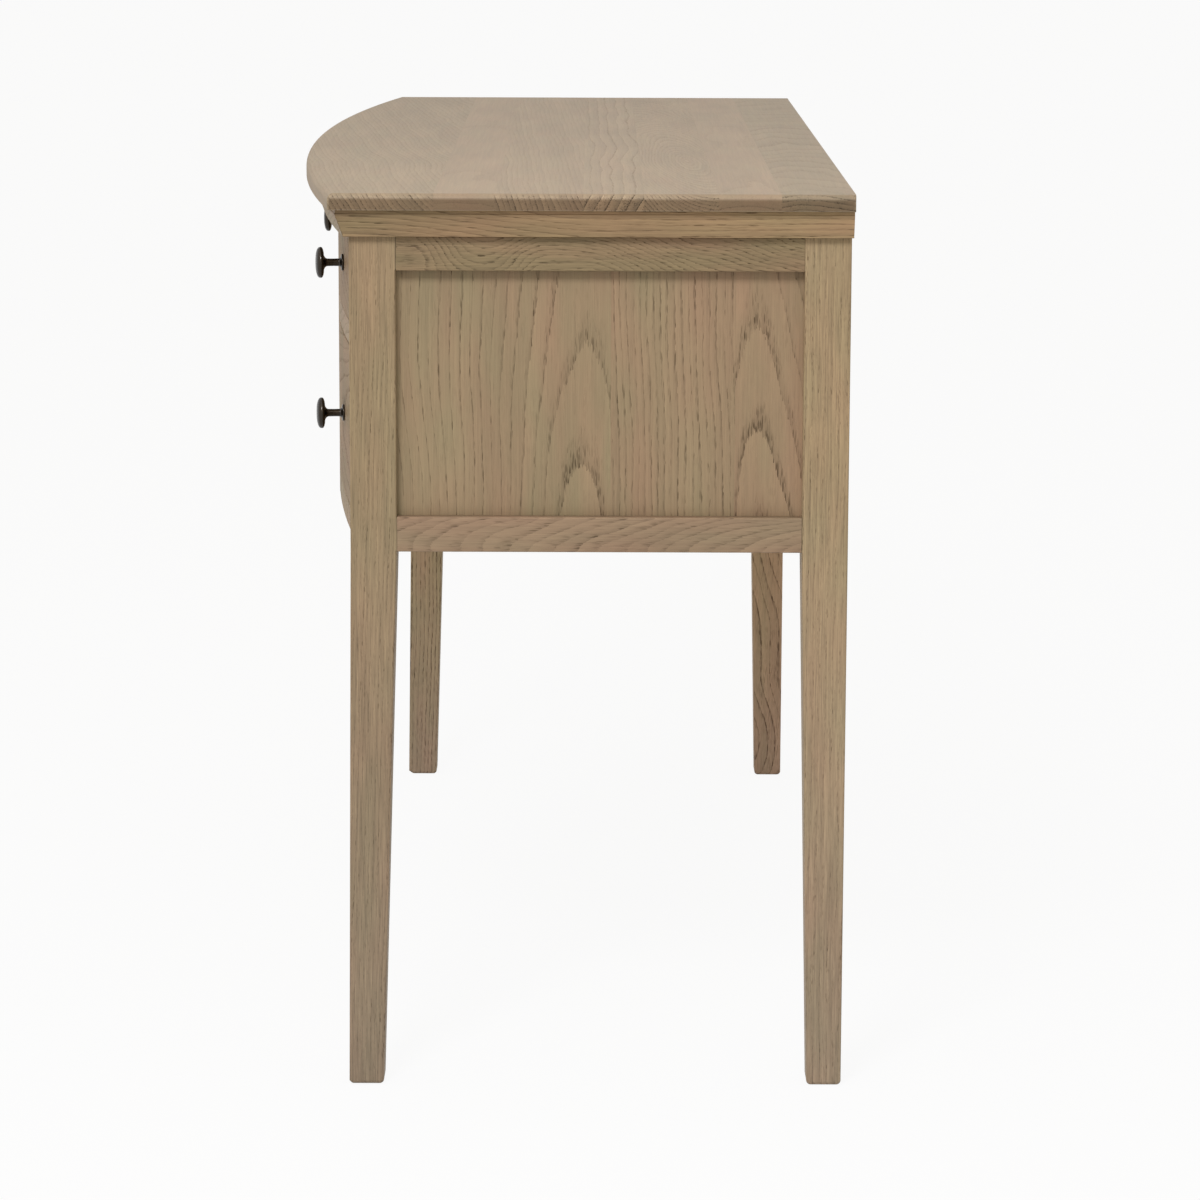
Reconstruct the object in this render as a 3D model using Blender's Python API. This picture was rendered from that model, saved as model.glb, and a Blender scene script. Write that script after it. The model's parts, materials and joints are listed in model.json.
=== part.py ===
"""Bow-fronted dressing table in limed oak, with five drawers and a kneehole.

The origin is on the floor, below the middle of the top. +X runs along the length
of the table, +Y points to its back and +Z points up. All lengths are in metres.
"Left" and "right" are as seen by someone sitting at the table.
"""
from math import ceil, cos, pi, sin, sqrt

import bmesh
import bpy
from mathutils import Matrix, Vector

# Gap that neighbouring pieces keep, and the seat of every joint between them
GAP = 0.0003

# Top
TOP_LENGTH = 1.250
TOP_DEPTH = 0.496
TOP_THICK = 0.0144
TOP_HEIGHT = 0.782
TOP_EDGE_RADIUS = 0.006
TOP_UNDER_EASE = 0.001
EDGE_STEPS = 5
END_OVERHANG = 0.021
FRONT_OVERHANG = 0.029
REAR_OVERHANG = 0.0018

# Bow of the drawer fronts and front rails, as a radius in plan
BOW_RADIUS = 3.760
CHORD = 0.038

# Moulded frame between the carcase and the top; the insets are from the top's edge
MOULD_HEIGHT = 0.0233
MOULD_LIP = 0.0013
MOULD_FOOT_INSET = 0.014
MOULD_NOSE_INSET = 0.0065
MOULD_FILLET_INSET = 0.0072
MOULD_FILLET_HEIGHT = 0.0033
MOULD_COVER = 0.010
MOULD_REAR_INSET = 0.0005
BATTEN_WIDTH = 0.060

# Legs; the feet of the front ones stand forward of their upper part by the lean
LEG_SIZE = 0.0395
LEG_FOOT = 0.030
LEG_CHAMFER = 0.0025
LEG_PROUD = 0.0030
FRONT_LEG_LEAN = 0.0040

# Heights of the front's rails and openings
UPPER_OPENING = 0.0858
LOWER_OPENING = 0.1445
MID_RAIL = 0.020
BOTTOM_RAIL = 0.0207

# Frame and panel at each end
SIDE_TOP_RAIL = 0.0292
SIDE_LOW_RAIL = 0.0302
SIDE_RAIL_THICK = 0.025
PANEL_RECESS = 0.011
PANEL_THICK = 0.008
GROOVE_DEPTH = 0.006
TENON_LENGTH = 0.018
TENON_SHOULDER = 0.006

# Inside of the carcase
KNEE_WIDTH = 0.520
DIVIDER_THICK = 0.024
BACK_RECESS = 0.006
BACK_THICK = 0.012
BOARD_THICK = 0.009

# Drawers; the centre one and its rail lie a setback behind the bow of the others
FRONT_THICK = 0.020
CENTRE_SETBACK = 0.0035
FRONT_SIDE_GAP = 0.0018
FRONT_TOP_GAP = 0.002
FRONT_FOOT_GAP = 0.001
BOX_THICK = 0.012
BOX_DROP = 0.012
BOX_BACK_DROP = 0.004
BOX_REAR_GAP = 0.008
RUNNING_GAP = 0.0004
BOTTOM_THICK = 0.006
BOTTOM_RISE = 0.008
BOTTOM_GROOVE = 0.006

# Knobs and the bolts that hold them; each knob sits a little above its drawer's middle
KNOB_RISE = 0.002
KNOB_REACH = 0.025
KNOB_RADIUS = 0.0138
KNOB_RIM = 0.0028
KNOB_CROWN = 0.0019
ROSETTE_RADIUS = 0.0074
ROSETTE_THICK = 0.0026
ROSETTE_STEP = 0.0012
NECK_RADIUS = 0.0034
NECK_FLARE = 0.0018
BOLT_RADIUS = 0.0020
BOLT_HEAD_RADIUS = 0.0045
BOLT_HEAD = 0.0025
BOLT_SLACK = 0.0003
TURNED_SIDES = 24

# Levels and planes that follow from the sizes above
SLAB_UNDER = TOP_HEIGHT - TOP_THICK
MOULD_UNDER = SLAB_UNDER - MOULD_HEIGHT
CARCASE_TOP = MOULD_UNDER - GAP
MID_TOP = MOULD_UNDER - UPPER_OPENING
MID_UNDER = MID_TOP - MID_RAIL
LOW_TOP = MID_UNDER - LOWER_OPENING
CASE_UNDER = LOW_TOP - BOTTOM_RAIL
LEG_OUT = TOP_LENGTH / 2 - END_OVERHANG
LEG_IN = LEG_OUT - LEG_SIZE
BACK_Y = TOP_DEPTH / 2 - REAR_OVERHANG
REAR_LEG_FRONT = BACK_Y - LEG_SIZE
BACK_PANEL_OUT = BACK_Y - BACK_RECESS
BACK_PANEL_IN = BACK_PANEL_OUT - BACK_THICK
BOW_APEX = FRONT_OVERHANG - TOP_DEPTH / 2
BOW_CENTRE = BOW_APEX + BOW_RADIUS
KNEE_HALF = KNEE_WIDTH / 2
DIVIDER_OUT = KNEE_HALF + DIVIDER_THICK
PANEL_OUT = LEG_OUT - PANEL_RECESS
PANEL_IN = PANEL_OUT - PANEL_THICK
SIDE_RAIL_IN = LEG_OUT - SIDE_RAIL_THICK
SIDE_TOP_UNDER = CARCASE_TOP - SIDE_TOP_RAIL
SIDE_LOW_TOP = CASE_UNDER + SIDE_LOW_RAIL

# Faces that meet at less than this angle are shaded as one surface
SMOOTH_BELOW = pi / 5

SIDES = (("left", -1), ("right", 1))


def bow_y(x, out=0.0):
    """Y of the bow at x, for a curve parallel to the drawer fronts and `out` in front."""
    return BOW_CENTRE - sqrt((BOW_RADIUS + out) ** 2 - x * x)


FRONT_LEG_FRONT = bow_y(LEG_IN) - LEG_PROUD
FRONT_LEG_BACK = FRONT_LEG_FRONT + LEG_SIZE


def bow_points(x0, x1, out=0.0, span=None):
    """Plan points along the bow from x0 to x1, as many as its span needs."""
    count = max(3, ceil((span or abs(x1 - x0)) / CHORD))
    steps = [x0 + (x1 - x0) * i / count for i in range(count + 1)]
    return [(x, bow_y(x, out)) for x in steps]


def clear_scene():
    for old in list(bpy.data.objects):
        bpy.data.objects.remove(old, do_unlink=True)


def principled(name, colour, roughness, metallic=0.0):
    mat = bpy.data.materials.new(name)
    mat.use_nodes = True
    shader = mat.node_tree.nodes["Principled BSDF"]
    shader.inputs["Base Color"].default_value = (*colour, 1.0)
    shader.inputs["Roughness"].default_value = roughness
    shader.inputs["Metallic"].default_value = metallic
    return mat


def add_object(name, bm, mat, parent=None):
    """Turns a closed bmesh in world coordinates into a named object."""
    bmesh.ops.recalc_face_normals(bm, faces=bm.faces)
    mesh = bpy.data.meshes.new(name)
    bm.to_mesh(mesh)
    bm.free()
    if mat is not None:
        mesh.materials.append(mat)
    obj = bpy.data.objects.new(name, mesh)
    bpy.context.scene.collection.objects.link(obj)
    if parent is not None:
        obj.parent = parent
        obj.matrix_parent_inverse = Matrix.Translation(-parent.location)
    return obj


def loft(bm, rings):
    """Skins a stack of rings that have the same number of corners, and caps both ends."""
    loops = [[bm.verts.new(corner) for corner in ring] for ring in rings]
    for low, high in zip(loops, loops[1:]):
        for i in range(len(low)):
            j = (i + 1) % len(low)
            bm.faces.new((low[i], low[j], high[j], high[i]))
    bm.faces.new(loops[0])
    bm.faces.new(loops[-1])


def level(outline, z):
    return [(x, y, z) for x, y in outline]


def prism(name, outline, z0, z1, mat, parent=None):
    """Upright solid on a plan outline."""
    bm = bmesh.new()
    loft(bm, [level(outline, z0), level(outline, z1)])
    return add_object(name, bm, mat, parent)


def rectangle(x0, x1, y0, y1):
    return [(x0, y0), (x1, y0), (x1, y1), (x0, y1)]


def box(name, xs, ys, zs, mat, parent=None):
    return prism(name, rectangle(*sorted(xs), *sorted(ys)), min(zs), max(zs), mat, parent)


def combine(target, tool, operation):
    """Cuts a guide solid out of the target, or joins it on."""
    tool.hide_render = True
    tool.display_type = 'WIRE'
    modifier = target.modifiers.new(tool.name, 'BOOLEAN')
    modifier.operation = operation
    modifier.solver = 'EXACT'
    modifier.object = tool


def cut_box(target, xs, ys, zs):
    combine(target, box(target.name + "_cut", xs, ys, zs, None, target.parent), 'DIFFERENCE')


def turned(bm, profile, origin, axis):
    """Turns a profile of (along, radius) points about an axis; its ends lie on the axis."""
    frame = Matrix.Translation(origin) @ axis.to_track_quat('Z', 'Y').to_matrix().to_4x4()
    tips = [bm.verts.new(frame @ Vector((0, 0, profile[end][0]))) for end in (0, -1)]
    rings = []
    for along, radius in profile[1:-1]:
        turns = [2 * pi * i / TURNED_SIDES for i in range(TURNED_SIDES)]
        points = [Vector((radius * cos(a), radius * sin(a), along)) for a in turns]
        rings.append([bm.verts.new(frame @ point) for point in points])
    for i in range(TURNED_SIDES):
        j = (i + 1) % TURNED_SIDES
        bm.faces.new((tips[0], rings[0][j], rings[0][i]))
        for low, high in zip(rings, rings[1:]):
            bm.faces.new((low[i], low[j], high[j], high[i]))
        bm.faces.new((tips[1], rings[-1][i], rings[-1][j]))


def smooth(obj):
    obj.data.shade_smooth()
    obj.data.set_sharp_from_angle(angle=SMOOTH_BELOW)


# Top and the moulded frame below it

def top_corner(inset):
    """Plan corner where the top's bow meets its right end, at an inset from the edge."""
    x = TOP_LENGTH / 2 - inset
    return x, bow_y(x, FRONT_OVERHANG - inset)


def top_front(inset):
    """Plan points along the top's bow, from end to end, at an inset from the edge."""
    x, _ = top_corner(inset)
    return bow_points(-x, x, FRONT_OVERHANG - inset, TOP_LENGTH)


def top_outline(inset):
    x, _ = top_corner(inset)
    return top_front(inset) + [(x, TOP_DEPTH / 2), (-x, TOP_DEPTH / 2)]


def make_top(oak):
    bm = bmesh.new()
    rings = [level(top_outline(TOP_UNDER_EASE), SLAB_UNDER)]
    rings.append(level(top_outline(0.0), SLAB_UNDER + TOP_UNDER_EASE))
    for i in range(EDGE_STEPS + 1):
        turn = pi / 2 * i / EDGE_STEPS
        inset = TOP_EDGE_RADIUS * (1 - cos(turn))
        rise = TOP_EDGE_RADIUS * (1 - sin(turn))
        rings.append(level(top_outline(inset), TOP_HEIGHT - rise))
    loft(bm, rings)
    smooth(add_object("top_slab", bm, oak))


def mould_profile():
    """Inset and height of each arris on the moulding's face, from its foot to its top."""
    nose = SLAB_UNDER - MOULD_FILLET_HEIGHT
    return [
        (MOULD_FOOT_INSET, MOULD_UNDER),
        (MOULD_FOOT_INSET, MOULD_UNDER + MOULD_LIP),
        (MOULD_NOSE_INSET, nose),
        (MOULD_FILLET_INSET, nose),
        (MOULD_FILLET_INSET, SLAB_UNDER - GAP),
    ]


def mitre_inner():
    """Inner end of the mitre: in line with the outer corners, where the frame ends inside."""
    foot_x, foot_y = top_corner(MOULD_FOOT_INSET)
    nose_x, nose_y = top_corner(MOULD_NOSE_INSET)
    slope = (nose_y - foot_y) / (nose_x - foot_x)
    x = LEG_IN - MOULD_COVER
    return x, foot_y + slope * (x - foot_x)


def make_mouldings(oak):
    inner_x, inner_y = mitre_inner()
    rear = TOP_DEPTH / 2 - MOULD_REAR_INSET
    bm = bmesh.new()
    rings = []
    for inset, z in mould_profile():
        inside = [(inner_x, inner_y), (-inner_x, inner_y)]
        rings.append(level(top_front(inset) + inside, z))
    loft(bm, rings)
    smooth(add_object("front_moulding", bm, oak))

    mitre_gap = GAP * sqrt(2)
    for side, sign in SIDES:
        bm = bmesh.new()
        rings = []
        for inset, z in mould_profile():
            x, y = top_corner(inset)
            outline = [(x, y + mitre_gap), (x, rear), (inner_x, rear), (inner_x, inner_y + mitre_gap)]
            rings.append([(sign * px, py, z) for px, py in outline])
        loft(bm, rings)
        add_object(side + "_moulding", bm, oak)
    batten_x = inner_x - GAP
    box("rear_top_batten", (-batten_x, batten_x), (rear - BATTEN_WIDTH, rear),
        (MOULD_UNDER, SLAB_UNDER - GAP), oak)


# Legs and the framed ends

def leg_ring(sign, y_out, y_turn, size, z, inset=0.0):
    """Square section whose two outer faces stay put while the inner ones taper."""
    x0, x1 = LEG_OUT - size + inset, LEG_OUT - inset
    y0, y1 = y_out + y_turn * inset, y_out + y_turn * (size - inset)
    return level(rectangle(sign * x0, sign * x1, y0, y1), z)


def make_leg(name, sign, y_out, y_turn, lean, oak):
    """y_out is the leg's outer face, and y_turn points from there to its inner face.

    The foot stands farther out than y_out by the lean.
    """
    taper = (LEG_SIZE - LEG_FOOT) / CASE_UNDER
    y_foot = y_out - y_turn * lean
    y_chamfer = y_foot + y_turn * lean * LEG_CHAMFER / CASE_UNDER
    bm = bmesh.new()
    loft(bm, [
        leg_ring(sign, y_foot, y_turn, LEG_FOOT, 0.0, LEG_CHAMFER),
        leg_ring(sign, y_chamfer, y_turn, LEG_FOOT + taper * LEG_CHAMFER, LEG_CHAMFER),
        leg_ring(sign, y_out, y_turn, LEG_SIZE, CASE_UNDER),
        leg_ring(sign, y_out, y_turn, LEG_SIZE, CARCASE_TOP),
    ])
    leg = add_object(name, bm, oak)
    slot_x = (sign * (PANEL_IN - GAP), sign * (PANEL_OUT + GAP))
    inner = y_out + y_turn * LEG_SIZE
    clear = inner + y_turn * TENON_SHOULDER
    groove = inner - y_turn * (GROOVE_DEPTH + GAP)
    mortise = inner - y_turn * (TENON_LENGTH + GAP)
    cut_box(leg, slot_x, (groove, clear), (SIDE_LOW_TOP - TENON_SHOULDER, SIDE_TOP_UNDER + TENON_SHOULDER))
    for z0, z1 in tenon_heights():
        cut_box(leg, slot_x, (mortise, clear), (z0 - GAP, z1 + GAP))


def tenon_heights():
    """Lowest and highest level of the tenons on the lower and the upper side rail."""
    lower = (CASE_UNDER + TENON_SHOULDER, SIDE_LOW_TOP - TENON_SHOULDER)
    upper = (SIDE_TOP_UNDER + TENON_SHOULDER, CARCASE_TOP - TENON_SHOULDER)
    return lower, upper


def make_side_rail(name, sign, zs, tenon_zs, groove_zs, oak):
    y0, y1 = FRONT_LEG_BACK + GAP, REAR_LEG_FRONT - GAP
    rail = box(name, (sign * SIDE_RAIL_IN, sign * LEG_OUT), (y0, y1), zs, oak)
    tenon_y = (FRONT_LEG_BACK - TENON_LENGTH, REAR_LEG_FRONT + TENON_LENGTH)
    tenon = box(name + "_tenon", (sign * PANEL_IN, sign * PANEL_OUT), tenon_y, tenon_zs, None)
    combine(rail, tenon, 'UNION')
    reach = TENON_LENGTH + TENON_SHOULDER
    cut_box(rail, (sign * (PANEL_IN - GAP), sign * (PANEL_OUT + GAP)), (y0 - reach, y1 + reach), groove_zs)


def make_ends(oak, board):
    low_tenon, top_tenon = tenon_heights()
    for side, sign in SIDES:
        make_leg("front_%s_leg" % side, sign, FRONT_LEG_FRONT, 1, FRONT_LEG_LEAN, oak)
        make_leg("rear_%s_leg" % side, sign, BACK_Y, -1, 0.0, oak)
        low_groove = (SIDE_LOW_TOP - GROOVE_DEPTH - GAP, SIDE_LOW_TOP + TENON_SHOULDER)
        top_groove = (SIDE_TOP_UNDER - TENON_SHOULDER, SIDE_TOP_UNDER + GROOVE_DEPTH + GAP)
        make_side_rail(side + "_lower_side_rail", sign, (CASE_UNDER, SIDE_LOW_TOP),
                       low_tenon, low_groove, oak)
        make_side_rail(side + "_upper_side_rail", sign, (SIDE_TOP_UNDER, CARCASE_TOP),
                       top_tenon, top_groove, oak)
        box(side + "_side_panel", (sign * PANEL_IN, sign * PANEL_OUT),
            (FRONT_LEG_BACK - GROOVE_DEPTH, REAR_LEG_FRONT + GROOVE_DEPTH),
            (SIDE_LOW_TOP - GROOVE_DEPTH, SIDE_TOP_UNDER + GROOVE_DEPTH), board)


# Inside of the carcase

def bowed(x0, x1, y_back, out=0.0):
    """Plan outline with a bowed front and a straight back."""
    return bow_points(x0, x1, out) + [(x1, y_back), (x0, y_back)]


def mirrored(outline, sign):
    return [(sign * x, y) for x, y in outline]


def board_outline(x_out):
    """Board behind a front rail: from the divider to x_out, notched round the rear leg."""
    x_in = DIVIDER_OUT + GAP
    front = FRONT_LEG_BACK + GAP
    notch = REAR_LEG_FRONT - GAP
    rear = BACK_PANEL_IN - GAP
    return [(x_in, front), (x_out, front), (x_out, notch),
            (LEG_IN - GAP, notch), (LEG_IN - GAP, rear), (x_in, rear)]


def make_carcase(oak, board):
    rail_in, rail_out = DIVIDER_OUT + GAP, LEG_IN - GAP
    rail_levels = (("_mid_rail", MID_UNDER, MID_TOP), ("_bottom_rail", CASE_UNDER, LOW_TOP))
    for side, sign in SIDES:
        divider = bowed(KNEE_HALF, DIVIDER_OUT, BACK_PANEL_IN - GAP)
        prism(side + "_divider", mirrored(divider, sign), CASE_UNDER, CARCASE_TOP, oak)
        for kind, z0, z1 in rail_levels:
            rail = bowed(rail_in, rail_out, FRONT_LEG_BACK)
            smooth(prism(side + kind, mirrored(rail, sign), z0, z1, oak))
        prism(side + "_pedestal_floor", mirrored(board_outline(SIDE_RAIL_IN - GAP), sign),
              LOW_TOP - BOARD_THICK, LOW_TOP, board)
        prism(side + "_dust_board", mirrored(board_outline(PANEL_IN - GAP), sign),
              MID_TOP - BOARD_THICK, MID_TOP, board)
        box(side + "_back_panel", (sign * KNEE_HALF, sign * (LEG_IN - GAP)),
            (BACK_PANEL_IN, BACK_PANEL_OUT), (CASE_UNDER, CARCASE_TOP), board)
    knee = KNEE_HALF - GAP
    centre_rail = bowed(-knee, knee, FRONT_LEG_BACK, -CENTRE_SETBACK)
    smooth(prism("centre_rail", centre_rail, MID_UNDER, MID_TOP, oak))
    box("centre_dust_board", (-knee, knee), (FRONT_LEG_BACK + GAP, BACK_PANEL_IN - GAP),
        (MID_TOP - BOARD_THICK, MID_TOP), board)
    box("centre_back_panel", (-knee, knee), (BACK_PANEL_IN, BACK_PANEL_OUT),
        (MID_UNDER, CARCASE_TOP), board)


# Drawers

def drawer_empty(name, x, out, z):
    """Empty in the middle of the drawer's face, on the line that the drawer slides along."""
    empty = bpy.data.objects.new(name + "_slide", None)
    empty.location = (x, bow_y(x, out), z)
    bpy.context.scene.collection.objects.link(empty)
    return empty


def knob_profile():
    """Along and radius of the knob and its bolt, from the bolt's head to the knob's."""
    inside = -FRONT_THICK - GAP
    rosette = GAP + ROSETTE_THICK
    rim = KNOB_REACH - KNOB_CROWN - KNOB_RIM
    under = rim - KNOB_RIM
    shoulder = KNOB_RADIUS - KNOB_RIM
    bolt = [
        (inside - BOLT_HEAD, 0.0), (inside - BOLT_HEAD, BOLT_HEAD_RADIUS - BOLT_HEAD / 2),
        (inside - BOLT_HEAD / 2, BOLT_HEAD_RADIUS), (inside, BOLT_HEAD_RADIUS),
        (inside, BOLT_RADIUS), (GAP, BOLT_RADIUS),
    ]
    neck = [
        (GAP, ROSETTE_RADIUS), (rosette - ROSETTE_STEP, ROSETTE_RADIUS),
        (rosette, NECK_RADIUS + NECK_FLARE), (rosette + NECK_FLARE, NECK_RADIUS),
        (under - 2 * NECK_FLARE, NECK_RADIUS), (under - NECK_FLARE, NECK_RADIUS + NECK_FLARE / 2),
        (under, NECK_RADIUS + 2 * NECK_FLARE),
    ]
    turns = [pi / 4 * (i - 2) for i in range(5)]
    head = [(rim + KNOB_RIM * sin(turn), shoulder + KNOB_RIM * cos(turn)) for turn in turns]
    crown = [(KNOB_REACH - KNOB_CROWN / 4, shoulder / 2), (KNOB_REACH, 0.0)]
    return bolt + neck + head + crown


def make_knob(name, x, out, z, front, metal, parent):
    """Knob square to the bow, with its bolt through a hole in the drawer front."""
    seat = Vector((x, bow_y(x, out), z))
    axis = (seat - Vector((0, BOW_CENTRE, z))).normalized()
    bm = bmesh.new()
    turned(bm, knob_profile(), seat, axis)
    smooth(add_object(name + "_knob", bm, metal, parent))
    reach = FRONT_THICK + BOLT_HEAD
    hole = BOLT_RADIUS + BOLT_SLACK
    bm = bmesh.new()
    turned(bm, [(-reach, 0.0), (-reach, hole), (BOLT_HEAD, hole), (BOLT_HEAD, 0.0)], seat, axis)
    combine(front, add_object(name + "_bolt_hole", bm, None, parent), 'DIFFERENCE')


def between_bows(x0, x1, out, depth):
    """Plan outline between two parallel bows, the front one `out` before the drawer fronts."""
    return bow_points(x0, x1, out) + bow_points(x1, x0, out - depth)


def make_drawer(name, opening_x, opening_z, out, oak, box_oak, ply, metal):
    """Drawer in its opening, with its front on the bow that lies `out` before the pedestals'."""
    x0, x1 = opening_x[0] + FRONT_SIDE_GAP, opening_x[1] - FRONT_SIDE_GAP
    z0, z1 = opening_z[0] + FRONT_FOOT_GAP, opening_z[1] - FRONT_TOP_GAP
    middle_x, middle_z = (x0 + x1) / 2, (z0 + z1) / 2
    slide = drawer_empty(name, middle_x, out, middle_z)
    rear = BACK_PANEL_IN - BOX_REAR_GAP
    foot = opening_z[0] + RUNNING_GAP
    head = z1 - BOX_DROP
    bottom_z = foot + BOTTOM_RISE
    groove_z = (bottom_z - GAP, bottom_z + BOTTOM_THICK + GAP)
    inner = (x0 + BOX_THICK, x1 - BOX_THICK)
    bottom_x = (inner[0] - BOTTOM_GROOVE, inner[1] + BOTTOM_GROOVE)

    front = prism(name + "_front", between_bows(x0, x1, out, FRONT_THICK), z0, z1, oak, slide)
    groove_front = out - FRONT_THICK + BOTTOM_GROOVE + GAP
    groove = between_bows(bottom_x[0] - GAP, bottom_x[1] + GAP, groove_front, 2 * BOTTOM_GROOVE)
    combine(front, prism(name + "_front_cut", groove, *groove_z, None, slide), 'DIFFERENCE')
    smooth(front)

    for side, xs, slot in (("left", (x0, inner[0]), (bottom_x[0] - GAP, inner[0] + BOX_THICK)),
                           ("right", (inner[1], x1), (inner[1] - BOX_THICK, bottom_x[1] + GAP))):
        lead = [(x, bow_y(x, out - FRONT_THICK) + GAP) for x in xs]
        wall = prism(name + "_%s_side" % side, lead + [(xs[1], rear), (xs[0], rear)],
                     foot, head, box_oak, slide)
        cut_box(wall, slot, (BOW_APEX, rear + BOX_REAR_GAP), groove_z)

    lip = out - FRONT_THICK + BOTTOM_GROOVE
    prism(name + "_bottom", bow_points(*bottom_x, lip) + [(bottom_x[1], rear), (bottom_x[0], rear)],
          bottom_z, bottom_z + BOTTOM_THICK, ply, slide)
    box(name + "_back", (inner[0] + GAP, inner[1] - GAP), (rear - BOX_THICK, rear),
        (bottom_z + BOTTOM_THICK + GAP, head - BOX_BACK_DROP), box_oak, slide)
    make_knob(name, middle_x, out, middle_z + KNOB_RISE, front, metal, slide)


def make_drawers(oak, box_oak, ply, metal):
    upper = (MID_TOP, MOULD_UNDER)
    lower = (LOW_TOP, MID_UNDER)
    finishes = (oak, box_oak, ply, metal)
    for side, sign in SIDES:
        opening = tuple(sorted((sign * DIVIDER_OUT, sign * LEG_IN)))
        make_drawer(side + "_upper_drawer", opening, upper, 0.0, *finishes)
        make_drawer(side + "_lower_drawer", opening, lower, 0.0, *finishes)
    make_drawer("centre_drawer", (-KNEE_HALF, KNEE_HALF), upper, -CENTRE_SETBACK, *finishes)


def main():
    clear_scene()
    oak = principled("limed_oak", (0.34, 0.25, 0.17), 0.55)
    board = principled("oak_veneer", (0.33, 0.24, 0.155), 0.55)
    box_oak = principled("drawer_oak", (0.42, 0.31, 0.20), 0.60)
    ply = principled("drawer_ply", (0.46, 0.35, 0.23), 0.60)
    metal = principled("dark_bronze", (0.035, 0.025, 0.020), 0.38, 0.9)
    make_top(oak)
    make_mouldings(oak)
    make_ends(oak, board)
    make_carcase(oak, board)
    make_drawers(oak, box_oak, ply, metal)


main()
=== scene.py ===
"""Looks of a bow-fronted dressing table in limed oak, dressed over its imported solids.

Lengths are in metres, in the frame of the solids: +X runs along the table, +Y points
to its back and +Z points up. The end that faces the camera is the one at +X.
"""

import json
from dataclasses import dataclass
from math import atan, cos, pi, radians, sin, sqrt, tan

import bmesh
import bpy
from mathutils import Matrix, Vector


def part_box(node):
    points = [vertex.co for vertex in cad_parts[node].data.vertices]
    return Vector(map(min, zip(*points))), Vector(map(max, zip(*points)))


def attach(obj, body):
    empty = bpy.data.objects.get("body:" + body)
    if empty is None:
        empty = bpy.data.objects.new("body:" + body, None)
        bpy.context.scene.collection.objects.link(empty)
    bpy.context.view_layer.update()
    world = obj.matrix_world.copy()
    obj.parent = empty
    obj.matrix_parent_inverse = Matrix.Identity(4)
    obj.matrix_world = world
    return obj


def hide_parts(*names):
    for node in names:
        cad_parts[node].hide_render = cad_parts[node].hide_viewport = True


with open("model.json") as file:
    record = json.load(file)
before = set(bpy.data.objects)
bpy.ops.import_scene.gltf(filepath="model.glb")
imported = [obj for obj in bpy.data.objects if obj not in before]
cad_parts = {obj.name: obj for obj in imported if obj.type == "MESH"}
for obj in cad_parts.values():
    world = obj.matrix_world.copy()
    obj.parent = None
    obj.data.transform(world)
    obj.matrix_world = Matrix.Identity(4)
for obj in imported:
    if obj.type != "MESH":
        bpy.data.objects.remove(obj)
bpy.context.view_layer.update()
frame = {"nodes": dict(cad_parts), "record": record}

# Sizes that the solids don't give by themselves
BOW_RADIUS = 3.760
FRONT_OVERHANG = 0.029
CENTRE_SETBACK = 0.0035
TOP_EDGE_RADIUS = 0.006
TOP_UNDER_EASE = 0.001
TOP_CORNER_RADIUS = 0.0025
REAR_CORNER_RADIUS = 0.002
LEAST_CORNER_RADIUS = 0.0004
ARRIS = 0.0012
LEG_ARRIS = 0.0016

# Fineness of the curves
TOP_STEPS = 96
EDGE_STEPS = 10
CORNER_STEPS = 6
ARRIS_STEPS = 3
KNOB_SIDES = 64

# What counts as the same place, as short, as one direction, as flat and as sharp
WELD = 0.00002
BEHIND = 0.0001
NEAR = 0.0005
SHORT_EDGE = 0.003
ROUGHLY_ALONG = 0.9
FLAT = radians(0.2)
SHARP = radians(25)

SIDES = ("left", "right")
DRAWERS = ("left_upper_drawer", "left_lower_drawer", "centre_drawer",
           "right_upper_drawer", "right_lower_drawer")
BODY_OF = {node: body
           for body, nodes in frame["record"]["behaviour"]["bodies"].items()
           for node in nodes}

TOP_LOW, TOP_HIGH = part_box("top_slab")
MOULD_LOW, MOULD_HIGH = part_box("right_moulding")
LEG_LOW, LEG_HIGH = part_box("front_right_leg")
REAR_LEG_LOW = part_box("rear_right_leg")[0]
LOWER_RAIL_LOW, LOWER_RAIL_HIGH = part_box("right_lower_side_rail")
UPPER_RAIL_LOW, UPPER_RAIL_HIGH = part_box("right_upper_side_rail")
PANEL_LOW, PANEL_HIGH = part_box("right_side_panel")
TOP_FACE = TOP_HIGH.z
PANEL_FACE = PANEL_HIGH.x
BOW_CENTRE = TOP_LOW.y + FRONT_OVERHANG + BOW_RADIUS


def spaced(start, end, steps):
    """Values from start to end in equal steps, both ends included."""
    return [start + (end - start) * i / steps for i in range(steps + 1)]


def paint(red, green, blue):
    """Linear colour of a tone given in screen values from 0 to 255."""
    def linear(value):
        value /= 255
        return value / 12.92 if value <= 0.04045 else ((value + 0.055) / 1.055) ** 2.4
    return (linear(red), linear(green), linear(blue), 1.0)


# Shader recipes

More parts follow.
